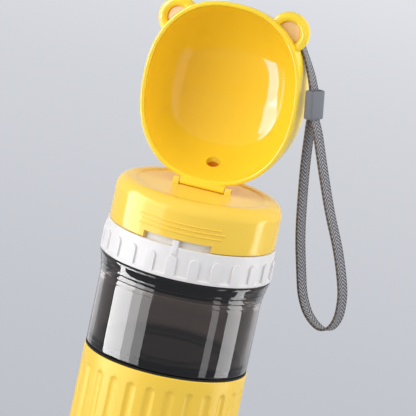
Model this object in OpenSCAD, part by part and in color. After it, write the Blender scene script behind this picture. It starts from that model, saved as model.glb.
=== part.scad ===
// Travel water bottle for a dog: food cup below, water tank above, a turning valve cap
// and a folding drinking bowl with two round ears. Millimetres, +Z up, front is -Y.
// The origin is the centre of the face that the bottle stands on.

/* [Food cup] */
// Height of the food cup
cup_h = 78; // [60:1:100]
// Step from the cap's side in to the food cup's side
cup_step = 0.6; // [0.2:0.1:1.5]
// Wall of the food cup
cup_wall = 2.4; // [2:0.1:3]
// Floor of the food cup
cup_floor = 2.2; // [1.6:0.1:4]
// Depth of the hollow under the cup's floor
cup_hollow = 1; // [0.5:0.1:1.5]
// Width of the foot ring that the bottle stands on
foot_w = 5; // [3:0.5:8]
// Number of grip flutes round the cup
flute_count = 26; // [16:1:30]
// Width of a flute
flute_w = 4.2; // [3:0.1:5]
// Depth of a flute
flute_d = 0.8; // [0.4:0.1:1]
// Plain band above the flutes
flute_top_gap = 5.5; // [4:0.5:12]
// Plain band below the flutes
flute_low_gap = 7; // [4:0.5:15]

/* [Water tank] */
// Height of tank that shows between the cup and the ring
tank_h = 41.2; // [30:0.1:80]
// Step from the food cup's side in to the tank's side
tank_step = 0.3; // [0:0.1:0.8]
// Wall of the tank
tank_wall = 2.8; // [2:0.1:3.5]
// Floor of the tank
tank_floor = 2.4; // [2:0.1:4]
// Step from the ribs in to the flared shoulder under the ring
flare_step = 0.3; // [0:0.1:1]
// Height of the flared shoulder
flare_h = 12; // [8:0.5:16]
// Depth of the screw foot inside the cup
plug_h = 8; // [7:0.5:10]
// Wall of the screw foot
plug_wall = 2; // [1.5:0.1:2.5]
// Wall of the neck
neck_wall = 2.4; // [2:0.1:3]
// Height of the thread beads above their core
bead_d = 0.6; // [0.3:0.1:0.8]
// Width of a thread bead
bead_w = 1.2; // [0.8:0.1:1.4]

/* [Seals] */
// Thickness of the seal on the cup's rim
cup_seal_t = 0.8; // [0.6:0.1:1.2]
// Thickness of the seal on the tank's neck
neck_seal_t = 1.8; // [1:0.1:2]
// Width of the flat seals
seal_w = 2.1; // [1.5:0.1:2.3]
// Thickness of the face seal under the valve plate
face_seal_t = 1; // [0.8:0.1:1.5]

/* [Lock ring] */
// Height of the ring
ring_h = 13.1; // [12.5:0.1:15]
// Step from the cap's side out to the ring between its ribs
ring_step = 0.4; // [0.1:0.1:1.5]
// Height of the ribs above the ring
rib_d = 0.8; // [0.4:0.1:1.5]
// Number of ribs
rib_count = 24; // [12:1:30]
// Width of a rib
rib_w = 4.1; // [3:0.1:5]
// Plain band above the ribs
rib_top_gap = 3.4; // [2.5:0.1:5]
// Height of the lip round the ring's lower edge
lip_h = 1.5; // [1:0.1:2.5]
// Thickness of each of the ring's two walls
ring_wall = 1.8; // [1.5:0.1:1.9]
// Width of the groove between the two walls
groove_w = 1.4; // [1:0.1:2]
// Thickness of the valve plate
plate_t = 2.4; // [2:0.1:3]
// Height of the collar that the cap turns on
collar_h = 5; // [4:0.5:7]
// Wall of the collar
collar_wall = 2; // [1.5:0.1:2.5]
// Width of the pointer
pointer_w = 2.5; // [2:0.1:4]

/* [Valve] */
// Radius of the valve disc
disc_r = 24; // [23:0.5:25]
// Thickness of the valve disc
disc_t = 2.6; // [2:0.1:3]
// Radius of the water ports
port_r = 3; // [2:0.1:3.5]
// Distance of the water ports from the axis
port_ring = 16; // [13:0.5:18]
// Turn between shut and open, each way from the middle
valve_turn = 22; // [15:1:22]
// Radius of the cap's hub in the valve plate
hub_r = 6.5; // [6:0.1:8]
// Thickness of the ring seal on the hub
oring_d = 1.6; // [1.2:0.1:1.6]
// Radius of the hub screw
screw_r = 1.5; // [1.2:0.1:2]
// Length of the hub screw under its head
screw_l = 12; // [10:0.5:16]
// Radius of the screw's head
screw_head_r = 3; // [2.5:0.1:4]
// Height of the screw's head
screw_head_h = 1.8; // [1.2:0.1:2.2]

/* [Cap] */
// Height of the cap
cap_h = 18.7; // [17:0.1:24]
// Radius of the cap, which sets the whole bottle's
cap_r = 35; // [33:0.1:38]
// Wall of the cap
cap_wall = 2.2; // [2:0.1:2.2]
// Radius of the cap's rounded shoulder
shoulder_r = 5.4; // [4:0.1:6]
// Width of the flat band round the dish in the cap's top
dish_edge = 3.1; // [2:0.1:4]
// Depth of the dish
dish_d = 0.6; // [0.3:0.1:1]
// Half of the angle of the window in the cap's lower edge
window_half = 24.6; // [24:0.1:30]
// Height of the window
window_h = 2.9; // [2:0.1:3.5]
// Height of the raised lines on the cap's front
line_d = 0.35; // [0.2:0.05:0.6]
// Width of a raised line
line_w = 0.6; // [0.4:0.1:0.8]
// Distance between the raised lines
line_pitch = 1.9; // [1.5:0.1:2.2]
// Half of the angle that the raised lines cover
line_half = 30; // [15:1:35]

/* [Bowl hinge] */
// Radius of the hinge pin
pin_r = 0.8; // [0.6:0.1:0.9]
// Radius of the bowl's hinge barrel
barrel_r = 1.5; // [1.4:0.1:1.6]
// Length of the bowl's hinge barrel
barrel_l = 19; // [14:0.5:19]
// Radius of the cap's hinge ears
lug_r = 1.4; // [1.3:0.1:1.5]
// Width of a hinge ear
lug_w = 2.6; // [2:0.1:3]
// Height of the folded bowl's mouth above the cap's crest
axis_up = 0.3; // [0.3:0.1:0.6]
// Distance of the hinge axis behind the bowl's mouth
axis_back = 0.5; // [0.3:0.1:0.6]

/* [Drinking bowl] */
// Width of the bowl's mouth
bowl_w = 65.4; // [58:0.1:68]
// Length of the bowl's mouth
bowl_l = 76.6; // [70:0.1:84]
// Depth of the bowl
bowl_depth = 34; // [28:0.5:38]
// Wall of the bowl
bowl_wall = 1.8; // [1.5:0.1:2.2]
// Height of the bowl's lower edge above the cap's crest
bowl_up = 1.6; // [1.4:0.1:2]
// Lean of the open bowl to its left, in degrees
bowl_lean = 1.4; // [0:0.1:2]
// Radius of the drain hole
drain_r = 2.9; // [2:0.1:3]
// Distance of the drain hole behind the bowl's mouth
drain_back = 17; // [15:0.5:18]
// Radius of the outlet seat's flange
seat_r = 5.8; // [5:0.1:6]

/* [Ears] */
// Radius of an ear
ear_r = 8.7; // [7:0.1:10]
// Radius of the hollow in an ear
ear_hollow_r = 4.9; // [4:0.1:5.5]
// Thickness of an ear
ear_t = 6; // [4:0.1:6.5]
// Distance of an ear behind the bowl's mouth
ear_back = 2.5; // [2:0.1:4]
// Depth of the hollow in an ear
ear_hollow_d = 3.6; // [2.5:0.1:4]
// Half of the distance between the ears
ear_x = 23; // [21:0.1:25]
// How far the middle of an ear lies under the bowl's edge
ear_sink = 1.05; // [0:0.05:2]
// How far the right ear stands above the middle of the pair, and the left ear below it
ear_shift = 1.6; // [0:0.1:2]
// Thickness of the ear insets
inset_t = 1.4; // [1:0.1:2]

/* [Strap] */
// Width of the webbing
web_w = 5.5; // [4:0.1:5.6]
// Thickness of the webbing
web_t = 1.1; // [0.8:0.1:1.1]
// Wall at each end of the slider's slot
slider_side = 0.8; // [0.6:0.1:1]
// Thickness of the slider
slider_t = 4.6; // [4.6:0.1:5]
// Length of the slider
slider_l = 12; // [11:0.5:14]
// Wall along the slider's slot
slider_wall = 0.6; // [0.5:0.05:0.6]

/* [Hidden] */
$fn = 96;
// overlap that makes a cut or a joint clean
eps = 0.01;
// clearance between parts that turn or lift past each other
gap = 0.3;
// running clearance of pins and of the ring seal
run = 0.05;

// levels of the stack
tank_z = cup_h + cup_seal_t;
ring_z = cup_h + tank_h;
ring_top = ring_z + ring_h;
plate_z = ring_top - plate_t;
cap_z = ring_top + gap;
crest_z = cap_z + cap_h;
dish_z = crest_z - dish_d;
tank_top = ring_z - gap;
neck_top = plate_z - neck_seal_t;
neck_h = neck_top - tank_top;
face_seal_z = plate_z - face_seal_t;
disc_z = face_seal_z - disc_t;
axis_z = crest_z + axis_up + axis_back;
bowl_z = crest_z + bowl_up;
bowl_mid = bowl_z + bowl_l / 2;

// radii that follow from the cap's
ring_r = cap_r + ring_step;
rib_r = ring_r + rib_d;
flare_r = rib_r - flare_step;
cup_r = cap_r - cup_step;
cup_in = cup_r - cup_wall;
plug_r = cup_in - gap - bead_d;
tank_r = cup_r - tank_step;
tank_in = tank_r - tank_wall;
sleeve_r = ring_r - ring_wall - groove_w;
thread_r = sleeve_r - ring_wall;
neck_r = thread_r - gap - bead_d;
cap_in = cap_r - cap_wall;
dish_r = cap_r - shoulder_r - dish_edge;
collar_r = cap_in - gap;
plate_hole = hub_r + 0.2;
seat_neck = seat_r - 1.4;

// points of an arc, from angle a0 to a1
function arc(x, y, r, a0, a1, n = 8) =
    [for (i = [0:n]) [x + r * cos(a0 + (a1 - a0) * i / n), y + r * sin(a0 + (a1 - a0) * i / n)]];

module ring(r_out, r_in, z, h) {
    translate([0, 0, z])
        difference() {
            cylinder(r = r_out, h = h);
            translate([0, 0, -eps]) cylinder(r = r_in, h = h + 2 * eps);
        }
}

// a rounded bead round a screw foot or a neck
module bead(r, z) {
    translate([0, 0, z])
        rotate_extrude()
            polygon(concat([[r - 0.5, -bead_w / 2]],
                           [[r + bead_d, -bead_w / 5], [r + bead_d, bead_w / 5]],
                           [[r - 0.5, bead_w / 2]]));
}

/* ---------- food cup ---------- */

// radius of the round cutter whose width at the surface is flute_w
flute_cut = (flute_w * flute_w / 4 + flute_d * flute_d) / (2 * flute_d);

module flute() {
    low = flute_low_gap + flute_w / 2;
    high = cup_h - flute_top_gap - flute_w / 2;
    translate([cup_r - flute_d + flute_cut, 0, 0]) {
        translate([0, 0, low]) cylinder(r = flute_cut, h = high - low, $fn = 48);
        translate([0, 0, low]) sphere(r = flute_cut, $fn = 48);
        translate([0, 0, high]) sphere(r = flute_cut, $fn = 48);
    }
}

module cup_body() {
    edge = 2;
    rim = 0.5;
    rotate_extrude()
        polygon(concat(
            [[0, cup_hollow], [cup_r - edge - foot_w, cup_hollow], [cup_r - edge - foot_w, 0]],
            arc(cup_r - edge, edge, edge, -90, 0),
            arc(cup_r - rim, cup_h - rim, rim, 0, 90, 4),
            arc(cup_in + rim, cup_h - rim, rim, 90, 180, 4),
            [[cup_in, cup_hollow + cup_floor + edge]],
            arc(cup_in - edge, cup_hollow + cup_floor + edge, edge, 0, -90),
            [[0, cup_hollow + cup_floor]]));
}

module food_cup() {
    color("gold")
        difference() {
            cup_body();
            for (i = [0:flute_count - 1])
                rotate([0, 0, -90 + 360 * (i + 0.25) / flute_count]) flute();
        }
}

// flat seal between the cup's rim and the tank's shoulder
module cup_seal() {
    color("dimgray") ring(cup_in + seal_w, cup_in + 0.2, cup_h, cup_seal_t);
}

/* ---------- water tank ---------- */

module tank_body() {
    foot = 1.2;
    plug_z = tank_z - plug_h;
    plug_in = plug_r - plug_wall;
    step = 0.7;
    rotate_extrude()
        polygon(concat(
            [[0, tank_z], [plug_in, tank_z], [plug_in, plug_z], [plug_r, plug_z]],
            [[plug_r, tank_z], [tank_r - foot, tank_z]],
            arc(tank_r - foot, tank_z + foot, foot, -90, 0, 5),
            [[tank_r, tank_top - flare_h]],
            [for (i = [1:8]) [tank_r + (flare_r - tank_r) * (1 - cos(90 * i / 8)),
                              tank_top - flare_h + (flare_h - 1) * i / 8]],
            [[flare_r, tank_top], [neck_r, tank_top], [neck_r, neck_top]],
            [[neck_r - neck_wall, neck_top], [neck_r - neck_wall, tank_top - 2]],
            [[tank_in, tank_top - flare_h + 4]],
            arc(tank_in - 2, tank_z + tank_floor + 2, 2, 0, -90),
            [[tank_in * 0.80, tank_z + tank_floor], [tank_in * 0.80, tank_z + tank_floor - step]],
            [[tank_in * 0.58, tank_z + tank_floor - step], [tank_in * 0.58, tank_z + tank_floor]],
            [[0, tank_z + tank_floor]]));
}

module water_tank() {
    color("dimgray", 0.6) {
        tank_body();
        for (k = [1:2]) bead(plug_r, tank_z - plug_h + k * plug_h / 3);
        for (k = [1:3]) bead(neck_r, tank_top + k * (neck_h - 1) / 4 + 1);
    }
}

// flat seal between the tank's neck and the valve plate
module tank_seal() {
    color("whitesmoke") ring(neck_r - 0.1, neck_r - 0.1 - seal_w, neck_top, neck_seal_t);
}

/* ---------- lock ring with the valve plate ---------- */

// a slab that stands out through the ring's wall, with a round top
module rib_slab(w, h) {
    translate([0, 2 - ring_r, 0])
        rotate([90, 0, 0])
            linear_extrude(height = rib_d + 4)
                union() {
                    translate([-w / 2, -1]) square([w, h + 1 - w / 2]);
                    translate([0, h - w / 2]) circle(d = w, $fn = 32);
                }
}

module ring_outside() {
    intersection() {
        cylinder_band(rib_r, ring_z, ring_top);
        union() {
            cylinder_band(ring_r, ring_z - 1, ring_top + 1);
            cylinder_band(rib_r + 1, ring_z - 1, ring_z + lip_h);
            for (i = [0:rib_count - 1])
                rotate([0, 0, 360 * i / rib_count])
                    translate([0, 0, ring_z]) rib_slab(rib_w, ring_h - rib_top_gap);
            translate([-pointer_w / 2, -rib_r - 1, ring_z + 2])
                cube([pointer_w, ring_wall + 2, ring_h]);
        }
    }
}

// part of the pointer that stands up into the cap's window
module pointer() {
    intersection() {
        cylinder_band(cap_r - 0.1, ring_top - 1, ring_top + window_h);
        translate([-pointer_w / 2, -cap_r - 1, ring_top - 2])
            cube([pointer_w, cap_r - collar_r + 1.5, window_h + 3]);
    }
}

module lock_ring() {
    web = 2;
    color("white")
        difference() {
            union() {
                ring_outside();
                pointer();
                cylinder_band(collar_r, ring_top - 1, ring_top + collar_h);
            }
            // bore of the thread, groove between the two walls, inside of the collar
            translate([0, 0, ring_z - 1]) cylinder(r = thread_r, h = plate_z - ring_z + 1);
            ring(sleeve_r + groove_w, sleeve_r, ring_z - 1, ring_h - plate_t - web + 1);
            translate([0, 0, ring_top]) cylinder(r = collar_r - collar_wall, h = collar_h + 1);
            // hole for the hub and the water port
            translate([0, 0, plate_z - 1]) cylinder(r = plate_hole, h = plate_t + 2);
            translate([0, port_ring, plate_z - 1]) cylinder(r = port_r, h = plate_t + 2);
        }
}

// a plain cylinder between two levels
module cylinder_band(r, z0, z1) {
    translate([0, 0, z0]) cylinder(r = r, h = z1 - z0);
}

// face seal under the valve plate
module face_seal() {
    color("silver")
        difference() {
            ring(disc_r + 0.5, plate_hole + 0.2, face_seal_z, face_seal_t);
            translate([0, port_ring, face_seal_z - 1]) cylinder(r = port_r, h = face_seal_t + 2);
        }
}

/* ---------- valve disc, on the cap's hub ---------- */

module valve_disc() {
    color("white")
        difference() {
            cylinder_band(disc_r, disc_z, face_seal_z);
            translate([0, 0, disc_z - 1]) cylinder(r = screw_r + 0.2, h = disc_t + 2);
            rotate([0, 0, -valve_turn])
                translate([0, port_ring, disc_z - 1]) cylinder(r = port_r, h = disc_t + 2);
        }
}

oring_mid = hub_r + 0.15 - oring_d / 2;
oring_z = plate_z + plate_t / 2;

module hub_oring() {
    color("black")
        translate([0, 0, oring_z])
            rotate_extrude() translate([oring_mid, 0]) circle(d = oring_d, $fn = 24);
}

module hub_screw() {
    color("silver")
        difference() {
            union() {
                cylinder_band(screw_head_r, disc_z - screw_head_h, disc_z);
                cylinder_band(screw_r, disc_z - eps, disc_z + screw_l);
            }
            // cross recess
            for (a = [0, 90])
                rotate([0, 0, a])
                    translate([-0.35, -1.6, disc_z - screw_head_h - eps]) cube([0.7, 3.2, 1]);
        }
}

/* ---------- cap ---------- */

module cap_profile() {
    s = shoulder_r;
    in_s = shoulder_r - cap_wall;
    lip = 0.6;
    polygon(concat(
        [[cap_in, cap_z], [cap_r, cap_z]],
        arc(cap_r - s, crest_z - s, s, 0, 90, 12),
        [[dish_r + lip, crest_z], [dish_r, dish_z], [0, dish_z], [0, dish_z - cap_wall]],
        [[cap_in - in_s, dish_z - cap_wall]],
        arc(cap_in - in_s, dish_z - cap_wall - in_s, in_s, 90, 0, 8)));
}

// raised line round the cap's front, with round ends
module raised_line(z, a0, a1) {
    translate([0, 0, z])
        rotate([0, 0, a0])
            rotate_extrude(angle = a1 - a0)
                translate([cap_r - 1, -line_w / 2]) square([1 + line_d, line_w]);
}

module hinge_lug(side) {
    x0 = side * (barrel_l / 2 + gap) - (side < 0 ? lug_w : 0);
    translate([x0, axis_back, axis_z])
        rotate([90, 0, 90]) cylinder(r = lug_r, h = lug_w, $fn = 48);
    translate([x0, axis_back - lug_r, dish_z - 1]) cube([lug_w, 2 * lug_r, axis_z - dish_z + 1]);
}

module cap_shell() {
    line_z = cap_z + window_h + 3;
    line_slope = [0, 2, -1.5];
    color("gold")
        difference() {
            union() {
                rotate_extrude() cap_profile();
                cylinder_band(hub_r, face_seal_z, dish_z - 1);
                for (side = [-1, 1]) hinge_lug(side);
                for (k = [0:2])
                    raised_line(line_z + k * line_pitch,
                                -90 - line_half + line_slope[k],
                                -90 + line_half + line_slope[k]);
            }
            // window for the pointer
            translate([0, 0, cap_z - eps])
                rotate([0, 0, -90 - window_half])
                    rotate_extrude(angle = 2 * window_half)
                        translate([cap_in - 1, 0]) square([cap_wall + 3, window_h + eps]);
            // pocket under the hinge barrel
            translate([-barrel_l / 2 - gap, axis_back, axis_z])
                rotate([90, 0, 90]) cylinder(r = barrel_r + gap, h = barrel_l + 2 * gap);
            // bore of the hinge pin
            translate([-barrel_l / 2 - 5, axis_back, axis_z])
                rotate([90, 0, 90]) cylinder(r = pin_r + run, h = barrel_l + 10, $fn = 48);
            // hole of the outlet seat, groove of the hub's ring seal, pilot of the hub screw
            translate([0, drain_back, dish_z - 5]) cylinder(r = seat_neck + run, h = 10);
            ring(hub_r + 1, oring_mid - oring_d / 2 - 0.02, oring_z - oring_d / 2 - 0.1, oring_d + 0.2);
            translate([0, 0, face_seal_z - 1]) cylinder(r = screw_r + 0.02, h = screw_l - disc_t + 2);
        }
}

// soft seat under the bowl's drain hole, its top cut parallel to the bowl's underside
module outlet_seat() {
    lip_t = 1;
    low = dish_z - cap_wall - lip_t;
    slope = atan((bowl_under(drain_back + 1) - bowl_under(drain_back - 1)) / 2);
    color("silver")
        difference() {
            translate([0, drain_back, 0]) {
                cylinder_band(seat_r, dish_z, bowl_under(drain_back + seat_r));
                cylinder_band(seat_neck, low, dish_z + eps);
                cylinder_band(seat_neck + 0.8, low, low + lip_t);
            }
            translate([0, drain_back, low - 1]) cylinder(r = drain_r, h = 30);
            translate([-10, drain_back, bowl_under(drain_back) - gap])
                rotate([slope, 0, 0]) translate([0, -15, 0]) cube([20, 30, 10]);
        }
}

module hinge_pin() {
    half = barrel_l / 2 + gap + lug_w;
    color("silver")
        translate([-half, axis_back, axis_z]) rotate([90, 0, 90]) cylinder(r = pin_r, h = 2 * half, $fn = 48);
}

/* ---------- drinking bowl ---------- */

// power of the mouth's rounded outline, and of the curve of its sides and of its ends
mouth_pow = 2.3;
side_pow = 3.5;
end_pow = 2.3;
// how far the sides swell and the ends draw in behind the mouth
side_swell = 0.065;
end_swell = -0.02;
bowl_sides = 48;
bowl_rings = 9;

// height of the ears, whose middles lie just under the bowl's outline
ear_z = bowl_mid - ear_sink + bowl_l / 2 * pow(1 - pow(2 * ear_x / bowl_w, mouth_pow), 1 / mouth_pow);

function spow(v, p) = sign(v) * pow(abs(v), p);
function shrink(u, p) = pow(1 - pow(u, p), 1 / p);
function swell(u, k) = 1 + k * sin(180 * u);

// one ring of the bowl at the part u of its depth, made smaller by the wall t
function bowl_ring(u, t) =
    [for (i = [0:bowl_sides - 1])
        let (a = 360 * (i + 0.5) / bowl_sides,
             x = (bowl_w / 2 - t) * shrink(u, side_pow) * swell(u, side_swell) * spow(cos(a), 2 / mouth_pow),
             z = (bowl_l / 2 - t) * shrink(u, end_pow) * swell(u, end_swell) * spow(sin(a), 2 / mouth_pow))
        [x, u * (bowl_depth - t), bowl_mid + z]];

// parts of the depth at which the rings lie, closer together towards the back
function ring_u(k) = sin(82 * k / bowl_rings);

module bowl_solid(t, front) {
    rings = concat([[for (p = bowl_ring(0, t)) [p[0], -front, p[2]]]],
                   [for (k = [(front > 0 ? 0 : 1):bowl_rings]) bowl_ring(ring_u(k), t)]);
    n = len(rings);
    m = bowl_sides;
    polyhedron(
        points = [for (r = rings) for (p = r) p],
        faces = concat(
            [[for (i = [m - 1:-1:0]) i]],
            [for (k = [0:n - 2]) for (i = [0:m - 1])
                each [[k * m + i, (k + 1) * m + (i + 1) % m, (k + 1) * m + i],
                      [k * m + i, k * m + (i + 1) % m, (k + 1) * m + (i + 1) % m]]],
            [[for (i = [0:m - 1]) (n - 1) * m + i]]));
}

// height of the bowl's underside at the distance y behind its mouth
function bowl_under(y) =
    bowl_mid - bowl_l / 2 * shrink(y / bowl_depth, end_pow) * swell(y / bowl_depth, end_swell);

// turns what is above the hinge by the bowl's lean
module leaned() {
    translate([0, 0, axis_z]) rotate([0, -bowl_lean, 0]) translate([0, 0, -axis_z]) children();
}

// place of an ear in the upright bowl, and of the right ear in the leaned one
function ear_at(side) = [side * ear_x, ear_back, ear_z + side * ear_shift];
function right_ear() =
    let (x = ear_at(1)[0], h = ear_at(1)[2] - axis_z)
    [x * cos(bowl_lean) - h * sin(bowl_lean), ear_back,
     axis_z + h * cos(bowl_lean) + x * sin(bowl_lean)];

module ear(side) {
    edge = 1.9;
    translate(ear_at(side))
        rotate([-90, 0, 0])
            rotate_extrude()
                polygon(concat(
                    [[0, ear_hollow_d], [ear_hollow_r, ear_hollow_d]],
                    arc(ear_hollow_r + edge, edge, edge, 180, 270, 5),
                    arc(ear_r - edge, edge, edge, -90, 0, 5),
                    arc(ear_r - edge, ear_t - edge, edge, 0, 90, 5),
                    [[0, ear_t]]));
}

// boss behind the right ear that holds the strap's end
boss_from_ear = [2.6, ear_t - 1, -0.6];
boss_r = 2.4;

module strap_boss() {
    translate(ear_at(1) + boss_from_ear)
        rotate([-90, 0, 0]) cylinder(r = boss_r, h = web_w + 2, $fn = 48);
}

module drinking_bowl() {
    // the tongue over the hinge stays clear of the cap's dish when the bowl is folded down
    tongue_front = axis_z - axis_back - dish_z - gap;
    tongue_h = bowl_z + bowl_wall * 2 / 3 - axis_z;
    color("gold")
        difference() {
            union() {
                leaned() {
                    bowl_solid(0, 0);
                    for (side = [-1, 1]) ear(side);
                    strap_boss();
                }
                translate([-barrel_l / 2, axis_back, axis_z])
                    rotate([90, 0, 90]) cylinder(r = barrel_r, h = barrel_l, $fn = 64);
                translate([-barrel_l / 2, -tongue_front, axis_z])
                    cube([barrel_l, tongue_front + bowl_wall, tongue_h]);
            }
            leaned() bowl_solid(bowl_wall, 5);
            translate([0, drain_back, bowl_under(drain_back) - 4]) cylinder(r = drain_r, h = 12);
            translate([-barrel_l / 2 - 1, axis_back, axis_z])
                rotate([90, 0, 90]) cylinder(r = pin_r + run, h = barrel_l + 2, $fn = 48);
        }
}

// pad in the hollow of an ear, cut off where the bowl's wall passes
module ear_inset(side) {
    color("peachpuff")
        leaned()
            difference() {
                translate(ear_at(side) + [0, ear_hollow_d - inset_t, 0])
                    rotate([-90, 0, 0]) cylinder(r = ear_hollow_r - run, h = inset_t, $fn = 64);
                bowl_solid(-run, 1);
            }
}

module ear_inset_left() {
    ear_inset(-1);
}

module ear_inset_right() {
    ear_inset(1);
}

/* ---------- strap ---------- */

// place of the right ear from which the strap's route is laid out
strap_home = [21.37, 2.5, 221.65];
// route of the webbing, hand-chosen: tail behind the ear, lead down into the slider, loop, slider
strap_route = [
    [25, 12.3, 220.6], [26.4, 12.3, 217.6], [28.2, 11.9, 214.6], [30.6, 10.4, 211.3], [33.4, 7.6, 207.2],
    [35.8, 4.9, 202.9], [36.7, 4.5, 200.4], [37.1, 4.6, 197.5], [37.5, 4.6, 194], [38, 4.6, 189.5],
    [38.2, 5.6, 184], [39.2, 7.5, 169], [40.9, 9.8, 153], [43, 12, 138], [46.4, 13.2, 123],
    [48.7, 13.1, 115], [52.2, 11.9, 108.6], [56.6, 9.8, 104.8], [60.8, 7.4, 103.6], [64.5, 4.6, 105.8],
    [66.7, 2.2, 111], [67, 0.9, 117.5], [65.8, 0.5, 125], [61, 0.4, 139], [54.1, 1.2, 154],
    [47.6, 2.1, 170], [42.2, 2.9, 184], [39.5, 3.5, 189.5], [38.6, 3.7, 194], [37.9, 3.6, 199]
];
// points of the route at which the tail and the lead end
tail_end = 3;
lead_end = 6;
// bearing of the webbing's width, at the tail and at the slider
tail_bearing = 80;
slider_bearing = 57;
// width of the slider, which the webbing passes through
slider_w = web_w + 2 * slider_side + 3 * gap;
// middle of the slider and the lean of its axis
slider_at = [37.95, 4.1, 195.5];
slider_lean = 8;

// point at t on the smooth curve through the points p
function curve(p, t) =
    let (n = len(p) - 1, k = min(floor(t), n - 1), f = t - k,
         a = p[max(k - 1, 0)], b = p[k], c = p[k + 1], d = p[min(k + 2, n)])
    0.5 * (2 * b + (c - a) * f + (2 * a - 5 * b + 4 * c - d) * f * f
           + (3 * b - a - 3 * c + d) * f * f * f);

function unit(v) = v / norm(v);

// bearing of the webbing's width at t
function bearing(t) =
    tail_bearing + (slider_bearing - tail_bearing) * max(0, min(1, (t - tail_end) / (lead_end - tail_end)));

// webbing along the route from t0 to t1, two rings for each of its points
module webbing(t0, t1) {
    n = len(strap_route) - 1;
    steps = 2 * (t1 - t0);
    hw = web_w / 2;
    ht = web_t / 2;
    section = [[hw, ht / 2], [hw - 0.3, ht], [0.3 - hw, ht], [-hw, ht / 2],
               [-hw, -ht / 2], [0.3 - hw, -ht], [hw - 0.3, -ht], [hw, -ht / 2]];
    rings = [for (i = [0:steps])
        let (t = t0 + i / 2,
             go = unit(curve(strap_route, min(t + 0.05, n)) - curve(strap_route, max(t - 0.05, 0))),
             w0 = [cos(bearing(t)), sin(bearing(t)), 0],
             w = unit(w0 - (w0 * go) * go),
             s = cross(go, w))
        [for (q = section) curve(strap_route, t) + q[0] * w + q[1] * s]];
    m = len(section);
    polyhedron(
        points = [for (r = rings) for (v = r) v],
        faces = concat(
            [[for (i = [m - 1:-1:0]) i]],
            [for (k = [0:steps - 1]) for (i = [0:m - 1])
                each [[k * m + i, k * m + (i + 1) % m, (k + 1) * m + (i + 1) % m],
                      [k * m + i, (k + 1) * m + (i + 1) % m, (k + 1) * m + i]]],
            [[for (i = [0:m - 1]) steps * m + i]]));
}

// puts a piece of the strap where the ear is
module at_ear() {
    translate(right_ear() - strap_home) children();
}

module strap_tail() {
    color("gray") at_ear() webbing(0, tail_end);
}

module strap_lead() {
    color("gray") at_ear() webbing(tail_end, lead_end);
}

module strap_loop() {
    color("gray") at_ear() webbing(lead_end, len(strap_route) - 1);
}

module rounded_bar(w, t, l, r) {
    translate([0, 0, -l / 2])
        linear_extrude(height = l)
            union() {
                square([w - 2 * r, t], center = true);
                square([w, t - 2 * r], center = true);
                for (x = [-1, 1]) for (y = [-1, 1])
                    translate([x * (w / 2 - r), y * (t / 2 - r)]) circle(r = r, $fn = 32);
            }
}

module strap_slider() {
    color("slategray")
        at_ear()
            translate(slider_at) rotate([0, -slider_lean, 0]) rotate([0, 0, slider_bearing])
                difference() {
                    rounded_bar(slider_w, slider_t, slider_l, 1);
                    cube([slider_w - 2 * slider_side, slider_t - 2 * slider_wall, slider_l + 1],
                         center = true);
                }
}

food_cup();
cup_seal();
water_tank();
tank_seal();
lock_ring();
face_seal();
valve_disc();
hub_oring();
hub_screw();
cap_shell();
outlet_seat();
hinge_pin();
drinking_bowl();
ear_inset_left();
ear_inset_right();
strap_tail();
strap_lead();
strap_loop();
strap_slider();
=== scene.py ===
import bpy
import math
from mathutils import Matrix, Vector


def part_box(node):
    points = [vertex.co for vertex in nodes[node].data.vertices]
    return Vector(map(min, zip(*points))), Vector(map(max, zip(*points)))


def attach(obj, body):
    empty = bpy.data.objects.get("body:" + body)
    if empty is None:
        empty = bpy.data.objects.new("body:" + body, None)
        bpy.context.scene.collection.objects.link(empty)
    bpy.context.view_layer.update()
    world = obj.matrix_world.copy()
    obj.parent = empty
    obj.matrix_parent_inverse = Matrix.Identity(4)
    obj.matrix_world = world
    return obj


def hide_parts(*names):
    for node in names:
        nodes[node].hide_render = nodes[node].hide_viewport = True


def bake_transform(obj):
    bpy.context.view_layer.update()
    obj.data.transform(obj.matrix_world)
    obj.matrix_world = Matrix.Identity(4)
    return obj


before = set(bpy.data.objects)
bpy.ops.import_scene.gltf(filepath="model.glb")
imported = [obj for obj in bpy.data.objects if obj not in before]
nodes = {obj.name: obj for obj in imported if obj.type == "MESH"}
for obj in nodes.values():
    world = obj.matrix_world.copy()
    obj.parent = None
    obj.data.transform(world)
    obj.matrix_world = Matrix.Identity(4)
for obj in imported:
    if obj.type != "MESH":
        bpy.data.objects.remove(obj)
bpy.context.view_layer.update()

mm = 0.001


def deselect():
    bpy.ops.object.select_all(action="DESELECT")


deselect()     # the frame comes in selected


# places on the bottle, in millimetres, read from the frame
def low(node, axis=2):
    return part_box(node)[0][axis] / mm


def high(node, axis=2):
    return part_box(node)[1][axis] / mm


# camera
cameraSet = {
    "aim": (4.25, 0.7, 143.4),     # point it looks at
    "azimuth": 9.0,
    "elevation": 12.5,
    "roll": 12.0,
    "distance": 1735.0,
    "lens": 363.4,
}


# direction in which a place at this azimuth and elevation lies, seen from the bottle
def backVector(azimuth, elevation):
    a = math.radians(azimuth)
    e = math.radians(elevation)
    return Vector((math.sin(a) * math.cos(e), -math.cos(a) * math.cos(e), math.sin(e)))


def makeCamera(s):
    aim = Vector(s["aim"]) * mm
    back = backVector(s["azimuth"], s["elevation"])
    bpy.ops.object.camera_add(location=aim + back * s["distance"] * mm)
    cam = bpy.context.object
    cam.name = "bottleCamera"
    facing = (-back).to_track_quat("-Z", "Y").to_matrix()
    cam.rotation_euler = (facing @ Matrix.Rotation(math.radians(s["roll"]), 3, "Z")).to_euler()
    cam.data.lens = s["lens"]
    cam.data.sensor_width = 36
    cam.data.clip_start = 0.05
    cam.data.clip_end = 50
    cam.data.dof.use_dof = False
    bpy.context.scene.camera = cam


makeCamera(cameraSet)
bpy.context.scene.view_settings.view_transform = "Standard"


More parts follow.
